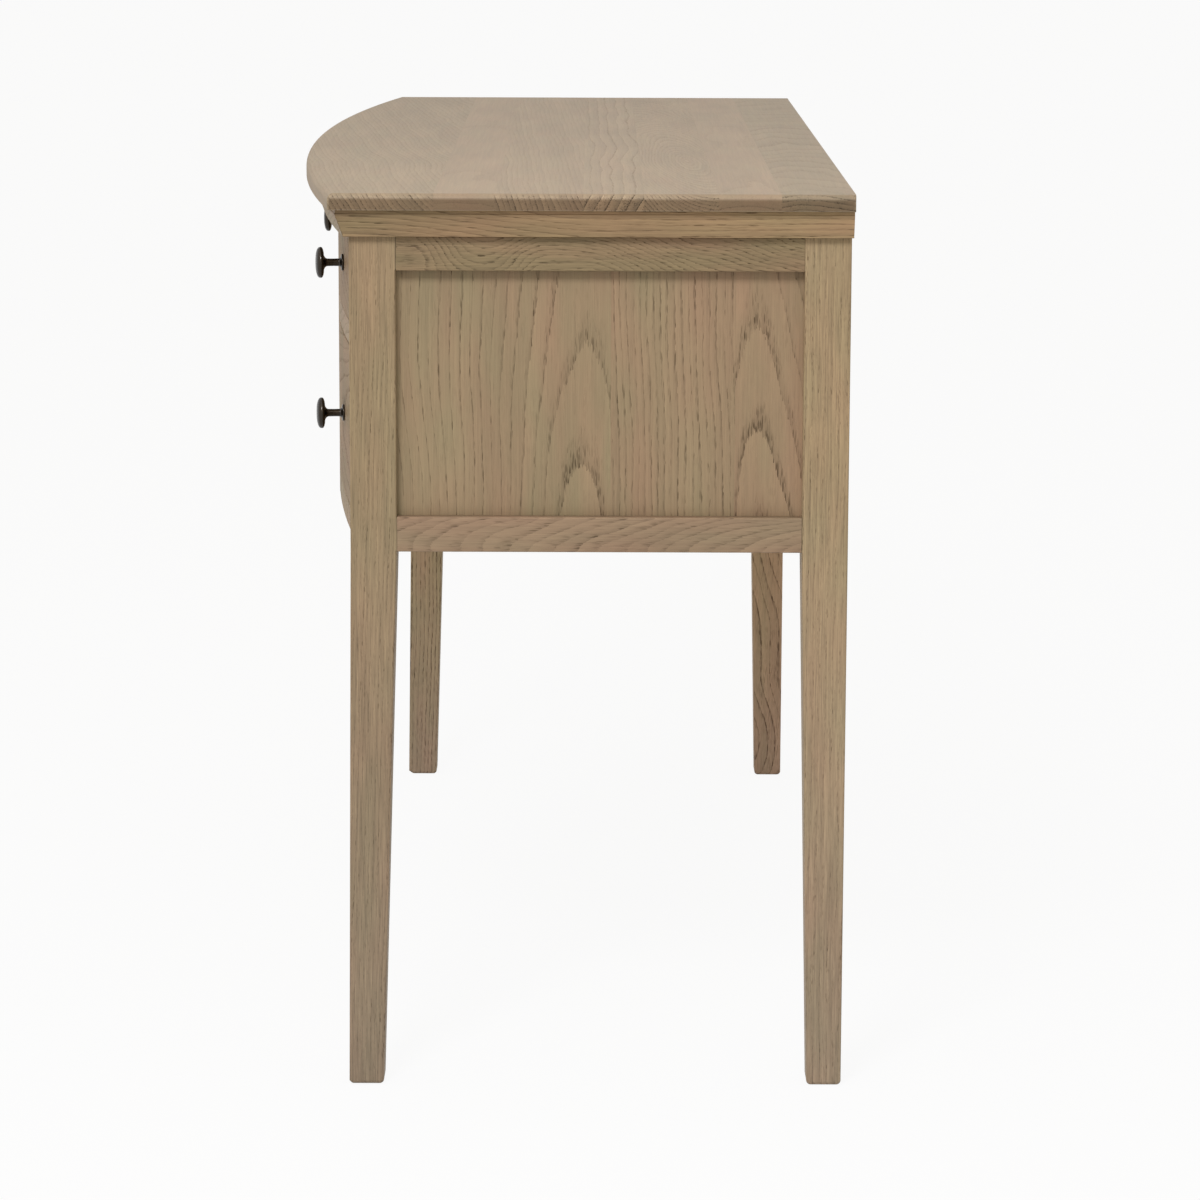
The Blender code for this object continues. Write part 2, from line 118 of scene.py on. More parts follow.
class Wire:
    """The output of a shader node; arithmetic on it adds Math nodes to its recipe."""

    def __init__(self, recipe, socket):
        self.recipe = recipe
        self.socket = socket

    def math(self, operation, *values):
        return self.recipe.node("ShaderNodeMath", {"operation": operation}, dict(enumerate(values)))

    def __add__(self, other):
        return self.math("ADD", self, other)

    def __radd__(self, other):
        return self.math("ADD", other, self)

    def __sub__(self, other):
        return self.math("SUBTRACT", self, other)

    def __rsub__(self, other):
        return self.math("SUBTRACT", other, self)

    def __mul__(self, other):
        return self.math("MULTIPLY", self, other)

    def __rmul__(self, other):
        return self.math("MULTIPLY", other, self)

    def __truediv__(self, other):
        return self.math("DIVIDE", self, other)

    def __gt__(self, other):
        return self.math("GREATER_THAN", self, other)

    def __lt__(self, other):
        return self.math("LESS_THAN", self, other)

    def whole(self):
        return self.math("FLOOR", self)

    def size(self):
        return self.math("ABSOLUTE", self)

    def limited(self):
        """The value held between 0 and 1."""
        return self.recipe.node("ShaderNodeClamp", {}, {"Value": self})

    def ramp(self, start, slope):
        """0 up to the start, then a straight rise to 1; a slope below 0 gives 0 beyond the start."""
        return ((self - start) * slope).limited()

    def between(self, low, high):
        """Value that goes from low to high as this one goes from 0 to 1."""
        return self * (high - low) + low

    def swing(self, amount):
        """Noise about 0.5 turned into a value about 0, half the amount to either side."""
        return (self - 0.5) * amount

    def smooth(self):
        """From 0 to 1 with a soft start and a soft end."""
        return self * self * (3.0 - 2.0 * self)


class Recipe:
    """The node tree of a material or of the world."""

    def __init__(self, owner):
        owner.use_nodes = True
        self.owner = owner
        self.tree = owner.node_tree
        self.tree.nodes.clear()

    def node(self, kind, settings, sockets, output=0):
        """Adds a node: its settings first, then the values or wires of its sockets."""
        made = self.tree.nodes.new(kind)
        for key, value in settings.items():
            setattr(made, key, value)
        for key, value in sockets.items():
            if isinstance(value, Wire):
                self.tree.links.new(value.socket, made.inputs[key])
            else:
                made.inputs[key].default_value = value
        return Wire(self, made.outputs[output])

    def vector(self, operation, *values, output=0):
        return self.node("ShaderNodeVectorMath", {"operation": operation},
                         dict(enumerate(values)), output)

    def join(self, *parts):
        """Vector made of two or three parts."""
        return self.node("ShaderNodeCombineXYZ", {}, dict(enumerate(parts)))

    def split(self, whole, kind="XYZ"):
        """The three parts of a vector, or of a colour where the kind is Color."""
        first = self.node("ShaderNodeSeparate" + kind, {}, {0: whole})
        return [Wire(self, socket) for socket in first.socket.node.outputs]

    def blend(self, factor, first, second, mode="MIX"):
        """Colour that goes from the first to the second as the factor goes from 0 to 1."""
        settings = {"data_type": "RGBA", "blend_type": mode}
        return self.node("ShaderNodeMix", settings, {0: factor, 6: first, 7: second}, 2)

    def shade(self, factor, colour, tint):
        """Colour that is multiplied by the tint as the factor goes from 0 to 1."""
        return self.blend(factor, colour, tint, "MULTIPLY")

    def grey(self, value):
        """Colour with one value in its three channels."""
        return self.node("ShaderNodeCombineColor", {}, {0: value, 1: value, 2: value})

    def noise(self, place, patch, detail=1.0):
        """Noise from 0 to 1 about 0.5; a patch is its width, its length and its offset."""
        width, length, offset = patch
        stretched = self.vector("MULTIPLY_ADD", place, (1 / width, 1 / width, 1 / length), (offset,) * 3)
        sockets = {"Vector": stretched, "Scale": 1.0, "Detail": detail, "Roughness": 0.5}
        return self.node("ShaderNodeTexNoise", {}, sockets)

    def backdrop_rays(self):
        """1 for the rays that meet a white background: seen straight, mirrored or through glass."""
        camera, glossy, through = [self.node("ShaderNodeLightPath", {}, {}, "Is %s Ray" % kind)
                                   for kind in ("Camera", "Glossy", "Transmission")]
        return (camera + glossy + through).limited()

    def finish(self, shader, kind="ShaderNodeOutputMaterial"):
        end = self.tree.nodes.new(kind)
        self.tree.links.new(shader.socket, end.inputs["Surface"])
        return self.owner


# Oak

TAN_PINK = paint(163, 135, 105)
TAN_GREEN = paint(154, 136, 103)
PORE_SHADE = (0.31, 0.28, 0.24, 1.0)
END_SHADE = (0.55, 0.49, 0.42, 1.0)
FOOT_SHADE = (0.93, 0.95, 1.15, 1.0)

# Axes across the grain, twice, and along it
GRAIN_AXES = {"X": (1, 2, 0), "Y": (0, 2, 1), "Z": (0, 1, 2)}
MIRROR_SHIFT = 1.7

# Patches of noise: width across the grain, length along it, and an offset that keeps them apart
WANDER_WIDTH = 0.030
WANDER_OFFSET = 3.1
TOOTH = (0.0012, 0.010, 7.7)
FIBRE = (0.0007, 0.030, 12.3)
HAIR = (0.0018, 0.080, 15.1)
MOTTLE = (0.026, 0.110, 17.9)
GLOW = (0.045, 0.160, 23.3)
BREAKS = (0.0028, 0.024, 31.7)
CROWDS = (0.006, 0.050, 41.3)

# Where each ramp starts, and its slope
END_RAMP = (0.88, 8.5)
CROSS_RAMP = (0.35, 2.5)
STROKE_RAMP = (0.66, -3.4)
BREAK_RAMP = (0.40, 6.0)
CROWD_RAMP = (0.40, 3.0)

# How far each kind of patch moves the tone
FIBRE_SWING = 0.40
HAIR_SWING = 0.26
GLOW_SWING = 0.24
MOTTLE_SWING = 2.6
END_FIGURE = 2.5

# Thickness of the porous wood in a ring, from the thinnest to the thickest, and its soft edge
EARLY_WOOD = (0.0005, 0.0012)
EARLY_EDGE = 1.30

# Depth of a cell's pore, from the cells that stay closed to the deepest one
PORE_LOTTERY = (-0.35, 1.35)

# Share of the pores that still shows in a weak ring, in a break and beside a stroke
WEAK_RING = 0.5
IN_BREAK = 0.5
BESIDE_STROKE = 0.3
STRAY_PORES = (0.05, 0.27)

WOOD_ROUGHNESS = 0.54
PORE_ROUGHNESS = 0.2
FIBRE_ROUGHNESS = 0.1
FIBRE_RELIEF = 0.4
BUMP_STRENGTH = 0.35


@dataclass
class Cut:
    """How a board was sawn out of its tree."""
    pith: tuple                     # place of the pith across the grain, where the grain's coordinate is 0
    lean: tuple = (0.0, 0.0)        # how far the pith moves across for each metre along the grain
    ring: float = 0.005             # width of a year's ring
    shift: float = 0.0              # move along the grain, so that no two boards match
    strength: float = 1.0           # how plainly its pores and its figure show
    warmth: float = 0.0             # more of the pinkish tone, or less
    light: float = 1.0              # brightness, which on some boards is painted light or shade


@dataclass
class Knot:
    """Place round which the rings bend."""
    place: tuple
    reach: float                    # how far from it the rings still bend
    lift: float                     # how far they move at the place itself


@dataclass
class Wood:
    """How the grain of a kind of board looks, apart from the way it was sawn."""
    seams: tuple = ()               # places where one cut of the board meets the next
    seam_axis: int = 0              # axis across the grain that the seams are measured on, 0 or 1
    knots: tuple = ()
    mirrored: bool = False          # the left piece mirrors the right one, moved along the grain
    wave: float = 0.0030            # how far the rings wander
    curl: float = 0.12              # how long they take for it, along the grain
    ragged: float = 0.0012          # unevenness of a ring's edge
    crowns: float = 0.4             # how much the pores spread where a ring is cut flat
    pore: tuple = (0.0010, 0.008)   # width and length of a pore's stroke
    loose: float = 1.0              # pores that stray between the rings
    contrast: float = 1.0           # how dark the pores are
    end_contrast: float = 1.0       # how much darker they are on the board's end
    fibres: float = 1.0             # strength of the fine streaks
    figure: float = 0.05            # how much the wood darkens through a ring
    mottle: float = 1.0             # strength of the pinkish and the greenish patches
    sweep: float = 0.0              # how much lighter it gets for each metre along the grain, painted light
    foot_fade: float = 0.0          # height at which the greyer tone of the foot ends
    relief: float = 0.0002          # depth of the open pores
    gloss: float = 0.35
    pinkish: tuple = TAN_PINK
    greenish: tuple = TAN_GREEN


class Oak(Recipe):
    """Open-pored limed oak that fills a whole board, so that every face of it fits the next."""

    def __init__(self, name, grain, cuts, wood):
        super().__init__(bpy.data.materials.new(name))
        self.cuts = cuts
        self.wood = wood
        self.lay_grain(grain)
        self.grow_rings()
        self.open_pores()
        self.finish(self.polish(self.tone()))

    def pick(self, trait, part=None):
        """A trait of the cuts, which changes from one to the next at each seam."""
        values = [getattr(cut, trait) for cut in self.cuts]
        if part is not None:
            values = [value[part] for value in values]
        chosen = values[0]
        for past, before, after in zip(self.past_seams, values, values[1:]):
            if after != before:
                chosen = chosen + past * (after - before)
        return chosen

    def lay_grain(self, grain):
        """The board's own axes, two across the grain and one along it, and the way a face looks."""
        axes = GRAIN_AXES[grain]
        self.place = self.node("ShaderNodeTexCoord", {}, {}, "Object")
        parts = self.split(self.place)
        shift = 0.0
        if self.wood.mirrored:
            shift = (parts[0] < 0.0) * MIRROR_SHIFT
            parts[0] = parts[0].size()
            self.place = self.join(*parts)
        self.across, self.up, self.along = [parts[axis] for axis in axes]
        measured = (self.across, self.up)[self.wood.seam_axis]
        self.past_seams = [measured > seam for seam in self.wood.seams]
        self.offset = self.pick("shift") + shift
        self.grained = self.join(self.across, self.up, self.along + self.offset)
        normal = self.split(self.node("ShaderNodeTexCoord", {}, {}, "Normal"))
        self.faces_across, self.faces_up, faces_along = [normal[axis].size() for axis in axes]
        self.end = faces_along.ramp(*END_RAMP)
        self.cross = faces_along.ramp(*CROSS_RAMP)

    def grow_rings(self):
        """Where each point lies in its ring, and how flat the ring is cut there."""
        beside = self.across - (self.along * self.pick("lean", 0) + self.pick("pith", 0))
        above = self.up - (self.along * self.pick("lean", 1) + self.pick("pith", 1))
        radius = self.vector("LENGTH", self.join(beside, above), output="Value")
        self.flat_sawn = (self.faces_across * beside.size() + self.faces_up * above.size()) / radius
        wander = self.noise(self.grained, (WANDER_WIDTH, self.wood.curl, WANDER_OFFSET))
        tooth = self.noise(self.grained, TOOTH)
        radius = radius + wander.swing(2 * self.wood.wave) + tooth.swing(self.wood.ragged)
        for knot in self.wood.knots:
            away = self.vector("DISTANCE", self.place, knot.place, output="Value")
            radius = radius + (1.0 - away / knot.reach).limited().smooth() * knot.lift
        self.ring = self.pick("ring")
        turns = radius / self.ring
        number = turns.whole()
        self.part = turns - number
        dice = self.node("ShaderNodeTexWhiteNoise", {"noise_dimensions": "1D"},
                         {"W": number + self.offset}, "Color")
        self.width, self.strong, self.dark = self.split(dice, "Color")

    def open_pores(self):
        """Depth of the pores, from 0 to 1: rows in each ring's early wood, and strays between them."""
        width, length = self.wood.pore
        cells = self.vector("MULTIPLY", self.grained, (1 / width, 1 / width, 1 / length))
        cell = {"Vector": cells, "Scale": 1.0}
        gap = self.node("ShaderNodeTexVoronoi", {}, cell, "Distance")
        chance = self.split(self.node("ShaderNodeTexVoronoi", {}, cell, "Color"), "Color")[0]
        stroke = gap.ramp(*STROKE_RAMP) * chance.between(*PORE_LOTTERY).limited()
        spread = 1.0 + self.flat_sawn * self.flat_sawn * self.wood.crowns
        thick = self.width.between(*EARLY_WOOD) * spread
        early = (EARLY_EDGE - self.part * self.ring / thick).limited()
        broken = self.noise(self.grained, BREAKS).ramp(*BREAK_RAMP)
        crowd = self.noise(self.grained, CROWDS).ramp(*CROWD_RAMP)
        row = early * self.strong.between(WEAK_RING, 1.0) * broken.between(IN_BREAK, 1.0)
        row = row * stroke.between(BESIDE_STROKE, 1.0)
        stray = stroke * crowd.between(*STRAY_PORES) * self.wood.loose
        depth = (row + stray) * self.pick("strength") * self.wood.contrast
        self.depth = (depth * (1.0 + self.cross * self.wood.end_contrast)).limited()

    def tone(self):
        """Colour of the wood, with its patches, streaks, rings and pores."""
        wood = self.wood
        self.fibre = self.noise(self.grained, FIBRE)
        hair = self.noise(self.grained, HAIR)
        glow = self.noise(self.grained, GLOW)
        mottle = self.noise(self.grained, MOTTLE, detail=1.5).swing(MOTTLE_SWING * wood.mottle)
        colour = self.blend((mottle + 0.5 + self.pick("warmth")).limited(), wood.greenish, wood.pinkish)
        level = 1.0 + self.fibre.swing(FIBRE_SWING * wood.fibres) + hair.swing(HAIR_SWING * wood.fibres)
        level = level + glow.swing(GLOW_SWING)
        # painted light: the board gets lighter along its grain
        if wood.sweep:
            level = level + self.along * wood.sweep
        figure = (self.part + self.dark - 1.0) * wood.figure * self.pick("strength")
        level = level + figure * (1.0 + self.cross * END_FIGURE)
        colour = self.shade(1.0, colour, self.grey(level * self.pick("light")))
        colour = self.shade(self.depth, colour, PORE_SHADE)
        colour = self.shade(self.end, colour, END_SHADE)
        if wood.foot_fade:
            colour = self.shade((1.0 - self.along / wood.foot_fade).limited(), colour, FOOT_SHADE)
        return colour

    def polish(self, colour):
        """Matt lacquer that follows the open pores and the fibres."""
        height = 1.0 - self.depth - self.fibre.swing(FIBRE_RELIEF) + self.part * (2 * self.wood.figure)
        bump = {"Strength": BUMP_STRENGTH, "Distance": self.wood.relief, "Height": height}
        roughness = WOOD_ROUGHNESS + self.depth * PORE_ROUGHNESS + self.fibre.swing(FIBRE_ROUGHNESS)
        return self.node("ShaderNodeBsdfPrincipled", {}, {
            "Base Color": colour,
            "Roughness": roughness.limited(),
            "Specular IOR Level": self.wood.gloss,
            "Normal": self.node("ShaderNodeBump", {}, bump, "Normal"),
        })


def oak(name, grain, cuts, **traits):
    """Oak for one kind of board, with its grain along the named axis."""
    return Oak(name, grain, cuts, Wood(**traits)).owner


def crown(face, apex, reach, slope, drift, **traits):
    """Cut whose rings draw arches on a face square to the first axis across the grain.

    apex is where an arch peaks, across and along; reach is the depth of the pith there.
    slope is how fast the pith sinks along the grain, and drift how far it moves aside.
    """
    across, along = apex
    depth = reach - slope * along
    return Cut((face - depth, across - drift * along), (-slope, drift), **traits)


# Boards of the top, from the front to the back
top_oak = oak(
    "top_oak", "X",
    [
        Cut((-0.02, TOP_FACE + 0.12), (0.10, 0.03), ring=0.0036, shift=1.0, strength=0.6, warmth=-0.1,
            light=0.99),
        Cut((-0.085, TOP_FACE - 0.14), (0.0, 0.02), ring=0.012, shift=2.0, strength=0.3, warmth=0.1),
        Cut((0.16, TOP_FACE + 0.05), (0.03, 0.02), ring=0.0045, shift=3.0, strength=0.6),
        Cut((0.14, TOP_FACE - 0.07), (0.01, 0.01), ring=0.0080, shift=4.0, strength=1.3),
        Cut((0.10, TOP_FACE - 0.030), (0.05, 0.11), ring=0.0030, shift=5.0, strength=0.6),
        Cut((0.159, TOP_FACE - 0.14), (0.0, 0.02), ring=0.013, shift=6.0, strength=0.3, warmth=0.1),
        Cut((0.215, TOP_FACE - 0.20), (-0.01, 0.07), ring=0.0042, shift=7.0, strength=0.6, warmth=-0.2,
            light=0.95),
    ],
    seams=(-0.1069, -0.0558, 0.0188, 0.0700, 0.1329, 0.1857),
    knots=(
        Knot((-0.30, 0.205, TOP_FACE), reach=0.16, lift=0.020),
        Knot((0.12, 0.105, TOP_FACE), reach=0.20, lift=0.006),
        Knot((0.30, -0.13, TOP_FACE), reach=0.14, lift=0.006),
    ),
    contrast=0.45, end_contrast=5.5, fibres=0.7, figure=0.10, mottle=0.4, relief=0.0006, gloss=0.38,
    pinkish=paint(162, 137, 112), greenish=paint(154, 138, 111),
)

# Side mouldings: their sweep is painted light, lighter towards the back
side_moulding_oak = oak(
    "side_moulding_oak", "Y",
    [Cut((0.44, 0.62), (0.02, -0.02), ring=0.0048, strength=1.25, light=0.985)],
    knots=(Knot((MOULD_HIGH.x, MOULD_LOW.y, MOULD_HIGH.z), reach=0.24, lift=-0.022),),
    pore=(0.0010, 0.010), fibres=1.2, figure=0.12, sweep=0.58,
    pinkish=paint(165, 135, 101), greenish=paint(157, 136, 99), mirrored=True,
)
front_moulding_oak = oak("front_moulding_oak", "X", [Cut((-0.05, 0.62), (0.0, 0.03), ring=0.0040)])

# Legs: the front one first, then the rear one, with the seam between them
# The rear cut's light of 1.10 against the front cut's 0.93 is painted light: the rear leg lit brighter
# than the front
leg_oak = oak(
    "leg_oak", "Z",
    [
        Cut((0.90, 0.35), (0.02, 0.03), ring=0.0034, strength=0.75, light=0.93),
        Cut((0.90, 0.45), (0.02, -0.02), ring=0.0034, shift=3.0, strength=0.85, light=1.10),
    ],
    seams=(0.0,), seam_axis=1,
    wave=0.002, pore=(0.0009, 0.005), loose=1.3, fibres=1.9, mottle=0.7, foot_fade=0.55,
    pinkish=paint(162, 136, 105), greenish=paint(154, 137, 104), mirrored=True,
)
# Legs on the far side: bolder grain, and painted light in their brightness (1.10 and 1.40) that lifts them
# out of the shade under the table
far_leg_oak = oak(
    "far_leg_oak", "Z",
    [
        Cut((-0.90, 0.35), (0.02, 0.03), ring=0.0040, strength=1.9, warmth=-0.3, light=1.10),
        Cut((-0.90, 0.45), (0.02, -0.02), ring=0.0062, shift=3.0, strength=2.4, warmth=0.4, light=1.40),
    ],
    seams=(0.0,), seam_axis=1,
    knots=(
        Knot((-LEG_LOW.x, 0.225, 0.040), reach=0.080, lift=0.012),
        Knot((-LEG_LOW.x, 0.245, 0.290), reach=0.120, lift=-0.014),
        Knot((-LEG_LOW.x, -0.150, 0.300), reach=0.030, lift=0.012),
    ),
    pore=(0.0009, 0.008), foot_fade=0.30,
)
LEG_OAK = {"left": far_leg_oak, "right": leg_oak}

# Rail under the moulding, darkened to a light of 0.78 by painted shade of the moulding above it
upper_rail_oak = oak(
    "upper_rail_oak", "Y",
    [Cut((0.545, 0.680), (0.03, -0.30), ring=0.0034, strength=1.3, warmth=-0.2, light=0.78)],
    knots=(
        Knot((UPPER_RAIL_HIGH.x, -0.070, UPPER_RAIL_LOW.z + 0.022), reach=0.060, lift=0.022),
        Knot((UPPER_RAIL_HIGH.x, 0.030, UPPER_RAIL_LOW.z - 0.010), reach=0.090, lift=-0.011),
    ),
    wave=0.006, curl=0.070, ragged=0.0020, loose=0.8, fibres=1.3, figure=0.10, mottle=1.4,
    pinkish=paint(163, 134, 102), greenish=paint(155, 135, 100), mirrored=True,
)
lower_rail_oak = oak(
    "lower_rail_oak", "Y",
    [crown(LOWER_RAIL_HIGH.x, (LOWER_RAIL_LOW.z, 0.20), 0.020, -0.15, 0.0, ring=0.0030, strength=0.8,
           warmth=0.1, light=0.885)],
    curl=0.060, ragged=0.0008, figure=0.12,
    pinkish=paint(163, 134, 108), greenish=paint(156, 135, 107), mirrored=True,
)

# Side panel: an arched board, a straight one and another arched one
panel_oak = oak(
    "panel_oak", "Z",
    [
        crown(PANEL_FACE, (0.0190, 0.6576), 0.0558, 0.078, 0.004, ring=0.0079, strength=1.25,
              warmth=-0.2),
        Cut((PANEL_FACE - 0.20, 0.34), (0.0, -0.03), ring=0.0044, shift=5.0, strength=1.1, warmth=0.05),
        crown(PANEL_FACE, (0.1641, 0.6914), 0.060, 0.0800, -0.060, ring=0.0072, shift=9.0, strength=1.2,
              warmth=0.3, light=1.02),
    ],
    seams=(0.0428, 0.1490), seam_axis=1,
    knots=(Knot((PANEL_FACE, PANEL_LOW.y, PANEL_LOW.z), reach=0.16, lift=0.016),),
    ragged=0.0016, crowns=1.1, loose=0.5, fibres=0.75, mottle=0.8,
    pinkish=paint(159, 131, 103), greenish=paint(150, 133, 102), mirrored=True,
)

# Drawer fronts, the lower ones first, and the plainer pieces of the carcase
# The fronts' light of 0.90 is painted shade: the bowed fronts darker because they get less light
front_oak = oak(
    "front_oak", "X",
    [
        Cut((-0.12, 0.55), (0.05, 0.02), ring=0.0065, warmth=0.2, light=0.90),
        Cut((-0.10, 0.72), (-0.05, 0.03), ring=0.0070, shift=4.0, warmth=0.2, light=0.90),
    ],
    seams=(0.647,), seam_axis=1, gloss=0.12,
)
front_rail_oak = oak("front_rail_oak", "X", [Cut((0.05, 0.50), (0.01, 0.02), ring=0.0045)])
divider_oak = oak("divider_oak", "Z", [Cut((0.10, 0.30), (0.01, 0.02), ring=0.0045)], mirrored=True)
board_oak = oak("board_oak", "X", [Cut((0.0, 0.40), (0.02, 0.05), ring=0.0070)])
back_oak = oak("back_oak", "Z", [Cut((0.36, 0.12), (0.03, 0.06), ring=0.0070)], mirrored=True)

# Paler wood inside the drawers
BOX_TONES = {"pinkish": paint(176, 147, 113), "greenish": paint(168, 146, 110)}
PLY_TONES = {"pinkish": paint(186, 159, 124), "greenish": paint(178, 156, 120)}
box_side_oak = oak("box_side_oak", "Y", [Cut((0.10, 0.45), (0.02, 0.02))], mirrored=True, **BOX_TONES)
box_back_oak = oak("box_back_oak", "X", [Cut((0.10, 0.50), (0.02, 0.02))], **BOX_TONES)
box_ply = oak("box_ply", "X", [Cut((0.10, 0.30), (0.05, 0.02), ring=0.0080)], **PLY_TONES)


# Bronze of the knobs

BRONZE_DARK = paint(34, 28, 21)
BRONZE_WORN = paint(58, 48, 35)
BRONZE_CLOUD = (0.004, 0.004, 2.0)
BRONZE_ROUGHNESS = (0.30, 0.46)
BRONZE_SHINE = (0.25, 0.22, 0.18, 1.0)


def make_bronze():
    """Dark patina in small clouds, under a thin satin wax."""
    recipe = Recipe(bpy.data.materials.new("dark_bronze"))
    place = recipe.node("ShaderNodeTexCoord", {}, {}, "Object")
    cloud = recipe.noise(place, BRONZE_CLOUD, detail=2.0)
    return recipe.finish(recipe.node("ShaderNodeBsdfPrincipled", {}, {
        "Base Color": recipe.blend(cloud, BRONZE_DARK, BRONZE_WORN),
        "Metallic": 0.8,
        "Roughness": cloud.between(*BRONZE_ROUGHNESS).limited(),
        "Specular Tint": BRONZE_SHINE,
        "Coat Weight": 0.5,
        "Coat Roughness": 0.14,
    }))


dark_bronze = make_bronze()


# Mesh helpers

def add_piece(name, bm, material, body, node):
    """Turns a bmesh in frame coordinates into a piece that rides on a body, in a node's place."""
    bmesh.ops.recalc_face_normals(bm, faces=bm.faces)
    mesh = bpy.data.meshes.new(name)
    bm.to_mesh(mesh)
    bm.free()
    mesh.materials.append(material)
    mesh.shade_smooth()
    mesh.set_sharp_from_angle(angle=SHARP)
    piece = bpy.data.objects.new(name, mesh)
    bpy.context.scene.collection.objects.link(piece)
    weighted = piece.modifiers.new("flat_faces", 'WEIGHTED_NORMAL')
    weighted.keep_sharp = True
    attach(piece, body)
    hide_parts(node)


def clean_solid(node):
    """The node's solid with its flat faces whole again."""
    bm = bmesh.new()
    bm.from_mesh(frame["nodes"][node].data)
    bmesh.ops.remove_doubles(bm, verts=bm.verts, dist=WELD)
    bmesh.ops.dissolve_limit(bm, angle_limit=FLAT, verts=bm.verts, edges=bm.edges)
    return bm


def bridge(bm, low, high):
    """Band of faces between two closed rings of corners."""
    for i in range(len(low)):
        j = (i + 1) % len(low)
        bm.faces.new((low[i], low[j], high[j], high[i]))


def on_hull(bm, edge):
    """True where the whole solid lies behind both faces that meet at the edge."""
    for face in edge.link_faces:
        level = face.normal.dot(edge.verts[0].co)
        if any(face.normal.dot(vert.co) > level + BEHIND for vert in bm.verts):
            return False
    return True


def runs(axis):
    """Test for edges that run roughly along an axis."""
    def test(bm, edge):
        direction = (edge.verts[1].co - edge.verts[0].co).normalized()
        return abs(direction["XYZ".index(axis)]) > ROUGHLY_ALONG
    return test


def outer(axis):
    """Test for edges along an axis that lie on the outside of the piece."""
    return lambda bm, edge: runs(axis)(bm, edge) and on_hull(bm, edge)


def long_edge(bm, edge):
    return edge.calc_length() > SHORT_EDGE


def eased(node, material, wanted, width=ARRIS, cuts=()):
    """Copy of a node with the wanted arrises rounded over; it stands for the node."""
    bm = clean_solid(node)
    for point, normal in cuts:
        geometry = list(bm.verts) + list(bm.edges) + list(bm.faces)
        bmesh.ops.bisect_plane(bm, geom=geometry, dist=WELD, plane_co=point, plane_no=normal)
    bm.normal_update()
    sharp = [edge for edge in bm.edges
             if len(edge.link_faces) == 2 and edge.is_convex and edge.calc_face_angle() > SHARP]
    arrises = [edge for edge in sharp if wanted(bm, edge)]
    bmesh.ops.bevel(bm, geom=arrises, offset=width, segments=ARRIS_STEPS, profile=0.5, affect='EDGES',
                    clamp_overlap=True, loop_slide=True)
    add_piece(node + "_wood", bm, material, BODY_OF[node], node)


# Top

def bow_y(x, out):
    """Place of the bow at x, or of a curve that lies a distance outside it."""
    return BOW_CENTRE - sqrt((BOW_RADIUS + out) ** 2 - x * x)


def plan_arc(centre, radius, start, end):
    return [(centre[0] + radius * cos(t), centre[1] + radius * sin(t))
            for t in spaced(start, end, CORNER_STEPS)]


def slab_outline(inset):
    """Plan of the top at an inset from its edge, with its four corners rounded."""
    x = TOP_HIGH.x - inset
    out = FRONT_OVERHANG - inset
    front_round = max(TOP_CORNER_RADIUS - inset, LEAST_CORNER_RADIUS)
    turn = pi / 2 - atan(x / sqrt((BOW_RADIUS + out) ** 2 - x * x))
    reach = front_round * tan(turn / 2)
    bow_x = x - reach * cos(pi / 2 - turn)
    bow = [(px, bow_y(px, out)) for px in spaced(-bow_x, bow_x, TOP_STEPS)]
    front_middle = (x - front_round, bow_y(x, out) + reach)
    rear_round = max(REAR_CORNER_RADIUS - inset, LEAST_CORNER_RADIUS)
    rear_middle = (x - rear_round, TOP_HIGH.y - rear_round)
    right = plan_arc(front_middle, front_round, -turn, 0.0)[1:]
    right += plan_arc(rear_middle, rear_round, 0.0, pi / 2)
    left = [(-px, py) for px, py in reversed(right)]
    return left + bow + right


def make_top():
    """The slab, with its upper edge rounded over in front and at both ends."""
    bm = bmesh.new()
    levels = [(TOP_UNDER_EASE, TOP_LOW.z), (0.0, TOP_LOW.z + TOP_UNDER_EASE)]
    levels += [(TOP_EDGE_RADIUS * (1 - cos(turn)), TOP_HIGH.z - TOP_EDGE_RADIUS * (1 - sin(turn)))
               for turn in spaced(0.0, pi / 2, EDGE_STEPS)]
    rings = [[bm.verts.new((x, y, z)) for x, y in slab_outline(inset)] for inset, z in levels]
    for low, high in zip(rings, rings[1:]):
        bridge(bm, low, high)
    bm.faces.new(rings[0])
    bm.faces.new(rings[-1])
    add_piece("top_slab_wood", bm, top_oak, "root", "top_slab")


# Mouldings, legs, rails and dividers

RAIL_LEVELS = [(Vector((0, 0, z)), Vector((0, 0, 1)))
               for z in (LOWER_RAIL_LOW.z, LOWER_RAIL_HIGH.z, UPPER_RAIL_LOW.z)]


def leg_arris(bm, edge):
    """The leg's own arrises, but not where a rail stands flush with it."""
    middle = (edge.verts[0].co + edge.verts[1].co) / 2
    beside_rail = min(abs(middle.y - LEG_HIGH.y), abs(middle.y - REAR_LEG_LOW.y)) < NEAR
    outside = abs(abs(middle.x) - LEG_HIGH.x) < 2 * NEAR
    in_lower = LOWER_RAIL_LOW.z - NEAR < middle.z < LOWER_RAIL_HIGH.z + NEAR
    in_upper = middle.z > UPPER_RAIL_LOW.z
    flush = beside_rail and outside and (in_lower or in_upper)
    return on_hull(bm, edge) and not flush and middle.z < LEG_HIGH.z - NEAR


